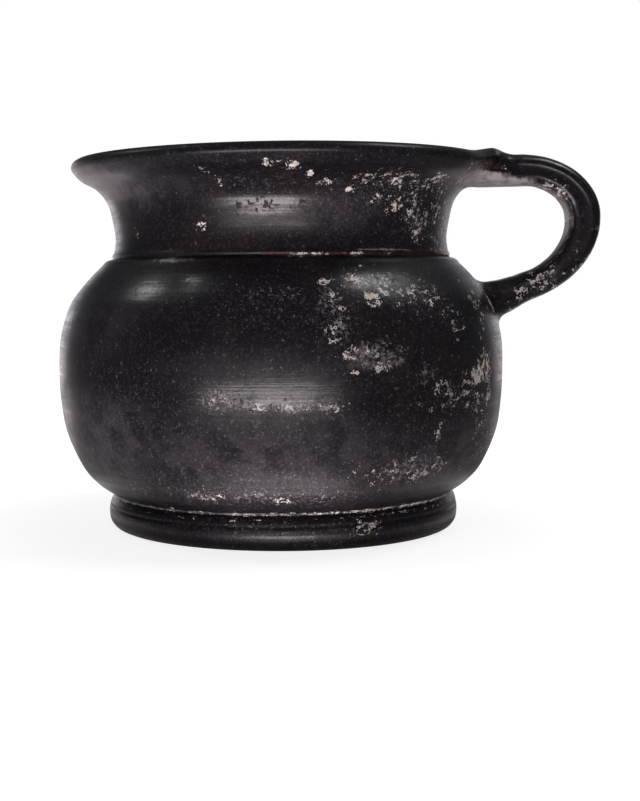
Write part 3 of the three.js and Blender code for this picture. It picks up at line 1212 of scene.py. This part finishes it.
class WornGloss:
    """The masks of the gloss's wear, from 0 to 1, worked out in one tree. They share the haze and
    the grain, two noises that break up their edges."""

    def __init__(self, graph):
        self.graph = graph
        self.here = graph.place()
        self.crust_tree, self.flecks_tree = crust_group(), flecks_group()
        self.haze = graph.noise(self.here, 260.0, detail=9.0, rough=0.72)
        self.grain = graph.noise(self.here, 1700.0, detail=2.0, rough=0.6)
        self.flecks_kept = graph.kept("flecks")

    def noise(self, *settings, **named):
        return self.graph.noise(self.here, *settings, **named)

    def crust(self, density, scale):
        """Ragged crust, its scale in lumps a metre."""
        return self.graph.group(
            self.crust_tree, {"Place": self.here, "Density": density, "Scale": scale}
        )

    def flecks(self, density, scale, fill):
        """Ragged flecks, their scale in cells a metre."""
        return self.graph.group(
            self.flecks_tree, {"Place": self.here, "Density": density, "Scale": scale, "Fill": fill}
        )

    def veil(self):
        """Gloss dulled all over, thinner in the grain and between clouds. Partly painted sheen, for the
        floor's reflection on the lower belly and under the lip on the left.
        """
        graph = self.graph
        clouds = self.noise(130.0, detail=4.0, rough=0.6)
        return graph.product(
            graph.kept("veil"),
            graph.between(self.haze, 0.3, 0.62, 0.42, 1.05),
            graph.between(self.grain, 0.3, 0.7, 0.7, 1.0),
            graph.between(clouds, 0.4, 0.56, 0.45, 1.08),
            clamp=True,
        )

    def rubbed(self):
        """Gloss rubbed grey, where the haze passes a limit that falls as the rubbing grows. Along the collar
        it is a painted highlight.
        """
        graph = self.graph
        limit = graph.between(graph.kept("rubbed"), 0.0, 1.0, 0.78, 0.44)
        return graph.past(self.haze, limit, 0.0, 0.12)

    def bare(self):
        """Bare clay with a broken edge."""
        graph = self.graph
        return graph.between(graph.total(graph.kept("clay"), self.noise(420.0, 4.0, 0.6)), 1.0, 1.45)

    def film(self):
        """Thin grey film with a broken edge, thinner in the haze. Along the collar the same grey is a
        painted highlight.
        """
        graph = self.graph
        edge = graph.between(graph.total(graph.kept("film"), self.noise(520.0, 6.0, 0.7)), 0.85, 1.4)
        return graph.product(edge, graph.between(self.haze, 0.32, 0.6, 0.35, 1.0))

    def dust(self):
        """Fine specks of three sizes."""
        graph = self.graph
        density = graph.total(graph.product(graph.kept("dust"), 0.75), 0.03)
        fine = self.flecks(density, 1500.0, 0.42)
        tiny = self.flecks(density, 2800.0, 0.45)
        specks = self.crust(density, 1300.0)
        return graph.largest(
            graph.product(fine, 0.204), graph.product(tiny, 0.238), graph.product(specks, 0.4)
        )

    def web(self):
        """Dim webs of fine crust."""
        return self.crust(self.graph.product(self.graph.kept("web"), 0.8), 1000.0)

    def thin_web(self, web):
        """How much of the web's dust shows, as it is thinner in places."""
        graph = self.graph
        return graph.product(web, graph.between(self.noise(1500.0), 0.38, 0.62, 0.3, 1.0), 0.28)

    def chalk(self):
        """Pale lime: flecks, ragged crust and winding lines."""
        graph = self.graph
        line = graph.group(
            worms_group(),
            {"Place": self.here, "Density": graph.kept("worms"), "Scale": 480.0, "Width": 0.035},
        )
        small = self.flecks(self.flecks_kept, 780.0, 0.5)
        ragged = self.crust(self.flecks_kept, 820.0)
        return graph.largest(small, ragged, graph.product(line, 0.8))


def worn_black_gloss(finish):
    """Black gloss on red clay, with wheel marks and small chips. Over it lie, in this order, the grey veil,
    partly a painted sheen of the floor's reflection, rubbed patches, bare clay, grey film, fine dust, dim
    webs, and the pale lime of flecks, crust and winding lines. The rubbed grey and the grey film also paint
    highlight lines along the collar."""
    material, graph = new_material("Worn black gloss")
    wear = WornGloss(graph)
    marks = graph.group(wheel_group(), {"Place": wear.here}).node.outputs
    veil, rubbed, bare, film = wear.veil(), wear.rubbed(), wear.bare(), wear.film()
    dust, web, chalk = wear.dust(), wear.web(), wear.chalk()
    rubbed_and_highlight_share = graph.product(rubbed, 0.8)

    warm = graph.between(wear.noise(55.0, detail=5.0, rough=0.6), 0.48, 0.7)
    base = graph.blend(warm, colour(finish.gloss), colour(finish.gloss_warm))
    layers = [
        # grey veil, partly a painted sheen of the floor's reflection
        (veil, finish.veil),
        # rubbed grey, with painted highlight lines along the collar
        (rubbed_and_highlight_share, finish.rubbed),
        (bare, finish.clay),
        # grey film, with painted highlight lines along the collar
        (film, finish.film),
        (dust, finish.dust),
        (graph.product(wear.crust(0.66, 1500.0), 0.02), finish.dust),
        (wear.thin_web(web), finish.dust),
    ]
    for mask, tone in layers:
        base = graph.blend(mask, base, colour(tone))
    stain = graph.between(wear.noise(300.0, detail=2.0), 0.49, 0.68)
    lime = graph.blend(stain, colour(finish.crust), colour(finish.cream))
    cover = graph.product(chalk, graph.between(wear.noise(900.0), 0.3, 0.6, 0.6, 1.0))
    base = graph.blend(cover, base, lime)

    dull = graph.largest(bare, film, chalk, dust, graph.product(web, 0.6))
    worn = graph.largest(rubbed, veil)
    glossy = graph.between(worn, 0.0, 1.0, finish.sheen_roughness, finish.worn_roughness)
    rough = graph.add(
        "ShaderNodeMix", {"data_type": "FLOAT"}, {0: dull, 2: glossy, 3: finish.chalk_roughness}
    )

    chips = wear.crust(graph.kept("chips"), 850.0)
    polish = graph.product(
        marks["Polish"],
        graph.kept("polish"),
        graph.between(wear.haze, 0.34, 0.54, 0.5, 1.0),
        graph.between(wear.grain, 0.3, 0.62, 0.6, 1.0),
    )
    for lost in (dull, rubbed_and_highlight_share, graph.product(veil, 0.8), chips):
        polish = graph.product(polish, graph.math("SUBTRACT", 1.0, lost), clamp=True)

    raised = graph.total(
        graph.product(marks["Height"], 0.8), graph.product(wear.haze, 0.8), graph.product(chalk, 0.6)
    )
    relief = graph.math("SUBTRACT", raised, graph.product(graph.largest(bare, chips), 0.5))
    bump = graph.add("ShaderNodeBump", None, {"Strength": 0.6, "Distance": 0.0001, "Height": relief})
    shader = graph.add(
        "ShaderNodeBsdfPrincipled",
        None,
        {
            "Base Color": base,
            "Roughness": rough,
            "Normal": bump,
            "IOR": 1.23,
            "Coat Weight": polish,
            "Coat Roughness": 0.2,
            "Coat IOR": 1.5,
            "Coat Normal": bump,
        },
    )
    graph.surface("ShaderNodeOutputMaterial", shader)
    return material


# Stage

WARM_WHITE = (1.0, 0.92, 0.94, 1.0)
COOL_WHITE = (0.95, 0.925, 1.0, 1.0)
PLAIN_WHITE = (1.0, 1.0, 1.0, 1.0)
MID_GREY = (0.5, 0.5, 0.5, 1.0)

# Each lamp as [name, place, point it faces, width and depth], in metres, and the property that
# sets its strength
LAMPS = [
    ("lamp_left", (-0.414, 0.067, 0.447), (-0.04, -0.04, 0.058), (0.14, 0.11), "left_lamp"),
    ("lamp_high", (-0.296, -0.031, 0.541), (-0.03, -0.045, 0.06), (0.09, 0.06), "left_lamp"),
    ("lamp_right", (0.29, 0.02, 0.53), (0.02, 0, 0.06), (0.20, 0.20), "right_lamp"),
]

# The camera's place in metres, and how far it looks down in degrees
CAMERA_PLACE = (-0.002425, -0.34875, 0.0592)
CAMERA_DIP = 4.73
SENSOR_WIDTH = 36.0

FLOOR_RADIUS = 2.5
FLOOR_HEIGHT = -0.0002
FLOOR_SIDES = 96

# Where the floor's glow changes, as the two places between which it rises or falls: reaches are in
# metres from the body's axis, and turns in degrees from the front, to either side
TABLE_REACH = (0.12, 0.32)
TABLE_TURN = (20, 75)
POOL_TURN = (12, 42)
POOL_START = (0.135, 0.19)
POOL_END = (0.28, 0.52)
APRON_START = (0.047, 0.052)
APRON_END = (0.058, 0.067)
APRON_TURN = (8, 34)
REAR_START = (0.09, 0.15)
REAR_END = (0.26, 0.42)
REAR_TURN = (112, 132)
FAR_REACH = (0.3, 0.6)
FAR_TURN = (134, 144)
# Painted shade: where the floor's glow, as the camera sees it, rises from dim at the foot to full
PAINTED_SHADE_REACH = (0.05, 0.12)

# How far the pool in front is turned to the left, in degrees
POOL_SHIFT = 6

# Where the glow changes from the left to the right of the jug, in metres from its axis
TABLE_ACROSS = (-0.12, 0.12)
REAR_ACROSS = (-0.04, 0.04)
FAR_ACROSS = (-0.3, 0.3)

# Strengths at those two places, or from the left to the right of the jug
FALLING = (1.0, 0.0)
TABLE_FADE = (0.55, 1.0)
TABLE_SIDES = (1.9, 0.9)
APRON_FADE = (5.2, 0.6)
REAR_SIDES = (1.5, 0.5)
WALL_SIDES = (1.0, 0.7)
# Painted shade: the floor's glow as the camera sees it, dimmer close to the foot
SEEN_PAINTED_SHADE = (0.84, 1.0)

# The room, as ranges of a direction of length 1: depth is its part away from the camera, height
# its part upwards, and across its part to the right. The wall's top rises to the right.
WALL_DEPTH = (0.72, 0.83)
WALL_FOOT = 0.10
WALL_TOP = (0.28, 0.5)
WALL_TOP_ACROSS = (-0.1, 0.3)
WALL_FADE = (1.0, 0.03)
WALL_ACROSS = (-0.4, 0.4)
WING_ACROSS = (0.75, 1.0)
WING_GLOW = (0.0, 0.05)
CEILING_HEIGHT = (0.45, 0.8)
CEILING_DEPTH = (-0.4, 0.2)
CEILING_GLOW = (0.0, 0.12)


def area_lamp(name, place, aim, size, strength):
    """A rectangular lamp that faces a point. Strength is the brightness of its face."""
    lamp = bpy.data.lights.new(name, "AREA")
    lamp.shape = "RECTANGLE"
    lamp.size, lamp.size_y = size
    lamp.energy = strength * size[0] * size[1] * math.pi
    made = bpy.data.objects.new(name, lamp)
    made.location = place
    made.rotation_euler = (Vector(aim) - Vector(place)).to_track_quat("-Z", "Y").to_euler()
    made.visible_camera = False
    bpy.context.scene.collection.objects.link(made)


def times(factors, value):
    """Each factor multiplied by the value."""
    return [factor * value for factor in factors]


def floor_glow(graph, studio, reach, bearing, x):
    """How brightly each place of the floor shines on the jug: a dim table round the foot, a bright
    pool in front, a thin apron close in, and the light of the white wall far and near behind."""
    turn = graph.math("ABSOLUTE", bearing)
    off_pool = graph.math("ABSOLUTE", graph.total(bearing, math.radians(POOL_SHIFT)))

    def turned_by(angle_from_front, ends, *strengths):
        return graph.between(angle_from_front, *map(math.radians, ends), *strengths)

    table = graph.product(
        graph.between(x, *TABLE_ACROSS, *times(TABLE_SIDES, studio.table_near)),
        graph.between(reach, *TABLE_REACH, 1.0, studio.table_far / studio.table_near),
        turned_by(turn, TABLE_TURN, *TABLE_FADE),
    )
    pool = graph.product(
        turned_by(off_pool, POOL_TURN, *FALLING),
        graph.between(reach, *POOL_START),
        graph.between(reach, *POOL_END, *FALLING),
        studio.low_lamp,
    )
    apron = graph.product(
        graph.between(reach, *APRON_END, *FALLING),
        turned_by(turn, APRON_TURN, *APRON_FADE),
        graph.between(reach, *APRON_START),
    )
    far = graph.product(
        graph.between(reach, *FAR_REACH),
        turned_by(turn, FAR_TURN),
        graph.between(x, *FAR_ACROSS, *times(WALL_SIDES, studio.surround)),
    )
    rear = graph.product(
        graph.between(reach, *REAR_START),
        graph.between(reach, *REAR_END, *FALLING),
        turned_by(turn, REAR_TURN),
        graph.between(x, *REAR_ACROSS, *REAR_SIDES),
    )
    return graph.total(table, pool, apron, far, rear)


def pale_floor(studio, axis):
    """The material of the floor. The camera sees it plain and pale, with a faint shadow round the foot:
    partly real shadow on its grey, partly painted shade, as the glow the camera sees is dimmer close to the
    foot. The jug is lit by its other glow. Axis is the x of the body's axis in metres."""
    material, graph = new_material("Pale floor")
    apart = graph.add("ShaderNodeSeparateXYZ", None, {0: graph.place()})
    x = graph.math("SUBTRACT", apart, axis)
    y = apart.node.outputs[1]
    reach = graph.math("SQRT", graph.total(graph.product(x, x), graph.product(y, y)))
    bearing = graph.math("ARCTAN2", x, graph.product(y, -1.0))
    strength = floor_glow(graph, studio, reach, bearing, x)
    path = graph.add("ShaderNodeLightPath")
    shine = graph.add("ShaderNodeEmission", None, {"Color": WARM_WHITE, "Strength": strength})
    pale = graph.add("ShaderNodeBsdfDiffuse", None, {"Color": MID_GREY})
    # Painted shade: the glow that the camera sees is dimmer close to the foot, a painted shadow round it
    lift = graph.add("ShaderNodeEmission", None, {"Strength": graph.between(reach, *PAINTED_SHADE_REACH, *SEEN_PAINTED_SHADE)})
    seen = graph.add("ShaderNodeAddShader", None, {0: pale, 1: lift})
    both = graph.add("ShaderNodeMixShader", None, {0: path, 1: shine, 2: seen})
    graph.surface("ShaderNodeOutputMaterial", both)
    return material


def lay_floor(studio, axis):
    """A wide round floor just under the foot."""
    turn = np.arange(FLOOR_SIDES) / FLOOR_SIDES * 2 * np.pi
    points = np.stack(
        [np.cos(turn) * FLOOR_RADIUS, np.sin(turn) * FLOOR_RADIUS, np.full(FLOOR_SIDES, FLOOR_HEIGHT)],
        axis=1,
    )
    mesh = bpy.data.meshes.new("floor")
    mesh.from_pydata(points.tolist(), [], [list(range(FLOOR_SIDES))])
    mesh.materials.append(pale_floor(studio, axis))
    floor = bpy.data.objects.new("floor", mesh)
    bpy.context.scene.collection.objects.link(floor)


def build_room(studio):
    """The room round the jug: a white wall behind, dim wings, a faint ceiling and gloom elsewhere.
    The camera sees plain white."""
    world = bpy.data.worlds.new("Studio")
    bpy.context.scene.world = world
    world.use_nodes = True
    graph = Graph(world.node_tree)
    path = graph.add("ShaderNodeLightPath")
    direction = graph.add("ShaderNodeTexCoord", output=0)
    across, depth, height = graph.add("ShaderNodeSeparateXYZ", None, {0: direction}).node.outputs
    top = graph.between(across, *WALL_TOP_ACROSS, *WALL_TOP)
    behind = graph.product(
        graph.between(depth, *WALL_DEPTH),
        graph.between(height, WALL_FOOT, top, *WALL_FADE),
        graph.between(across, *WALL_ACROSS, *times(WALL_SIDES, studio.surround)),
    )
    wings = graph.between(graph.math("ABSOLUTE", across), *WING_ACROSS, *WING_GLOW)
    ceiling = graph.product(
        graph.between(height, *CEILING_HEIGHT, *CEILING_GLOW), graph.between(depth, *CEILING_DEPTH)
    )
    walls = graph.total(behind, studio.gloom, wings, ceiling)
    around = graph.add("ShaderNodeBackground", None, {"Color": COOL_WHITE, "Strength": walls})
    seen = graph.add("ShaderNodeBackground", None, {"Color": PLAIN_WHITE, "Strength": 1.0})
    both = graph.add("ShaderNodeMixShader", None, {0: path, 1: around, 2: seen})
    graph.surface("ShaderNodeOutputWorld", both)


def set_camera(studio):
    """The camera at the photograph's viewing angle."""
    data = bpy.data.cameras.new("camera")
    data.lens = studio.lens
    data.sensor_width = SENSOR_WIDTH
    data.clip_start, data.clip_end = 0.01, 20
    made = bpy.data.objects.new("camera", data)
    made.location = CAMERA_PLACE
    made.rotation_euler = (math.radians(90 - CAMERA_DIP), 0, 0)
    bpy.context.scene.collection.objects.link(made)
    bpy.context.scene.camera = made


# Operators


class OLPE_OT_throw_vessel(bpy.types.Operator):
    """Throw the body, join the strap handle to it and record its wear"""

    bl_idname = "olpe.throw_vessel"
    bl_label = "Throw the vessel"

    def execute(self, context):
        settings = context.scene
        s = millimetres(settings.olpe_shape)
        vessel = thrown_vessel(s)
        mesh = vessel.data
        mesh.materials.append(worn_black_gloss(settings.olpe_finish))
        mesh.polygons.foreach_set("material_index", np.zeros(len(mesh.polygons), np.int32))
        mesh.polygons.foreach_set("use_smooth", np.ones(len(mesh.polygons), bool))
        record_wear(mesh, s)
        mesh.update()
        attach(vessel, "root")
        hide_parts(NODE)
        return {"FINISHED"}


class OLPE_OT_set_stage(bpy.types.Operator):
    """Lay the pale floor, hang the lamps and set up the camera"""

    bl_idname = "olpe.set_stage"
    bl_label = "Set the stage"

    def execute(self, context):
        studio = context.scene.olpe_studio
        lay_floor(studio, axis_x(millimetres(context.scene.olpe_shape)) * MM)
        build_room(studio)
        for name, place, aim, size, strength in LAMPS:
            area_lamp(name, place, aim, size, getattr(studio, strength))
        set_camera(studio)
        context.scene.view_settings.view_transform = "Standard"
        return {"FINISHED"}


class OLPE_PT_panel(bpy.types.Panel):
    """Lists the steps that make the jug and its stage"""

    bl_label = "Black-glossed olpe"
    bl_idname = "OLPE_PT_panel"
    bl_space_type = "VIEW_3D"
    bl_region_type = "UI"
    bl_category = "Olpe"

    def draw(self, context):
        for step in STEPS:
            self.layout.operator(step.bl_idname)
        for group in ("olpe_shape", "olpe_finish", "olpe_studio"):
            box = self.layout.box()
            settings = getattr(context.scene, group)
            for name in type(settings).__annotations__:
                box.prop(settings, name)


STEPS = (OLPE_OT_throw_vessel, OLPE_OT_set_stage)
GROUPS = (OlpeShape, OlpeFinish, OlpeStudio)
CLASSES = (*GROUPS, *STEPS, OLPE_PT_panel)


def register():
    for each in CLASSES:
        bpy.utils.register_class(each)
    bpy.types.Scene.olpe_shape = PointerProperty(type=OlpeShape)
    bpy.types.Scene.olpe_finish = PointerProperty(type=OlpeFinish)
    bpy.types.Scene.olpe_studio = PointerProperty(type=OlpeStudio)


def unregister():
    del bpy.types.Scene.olpe_shape
    del bpy.types.Scene.olpe_finish
    del bpy.types.Scene.olpe_studio
    for each in reversed(CLASSES):
        bpy.utils.unregister_class(each)


def main():
    """Makes the jug and its stage."""
    register()
    for step in STEPS:
        group, name = step.bl_idname.split(".")
        getattr(getattr(bpy.ops, group), name)()


if __name__ == "__main__":
    main()
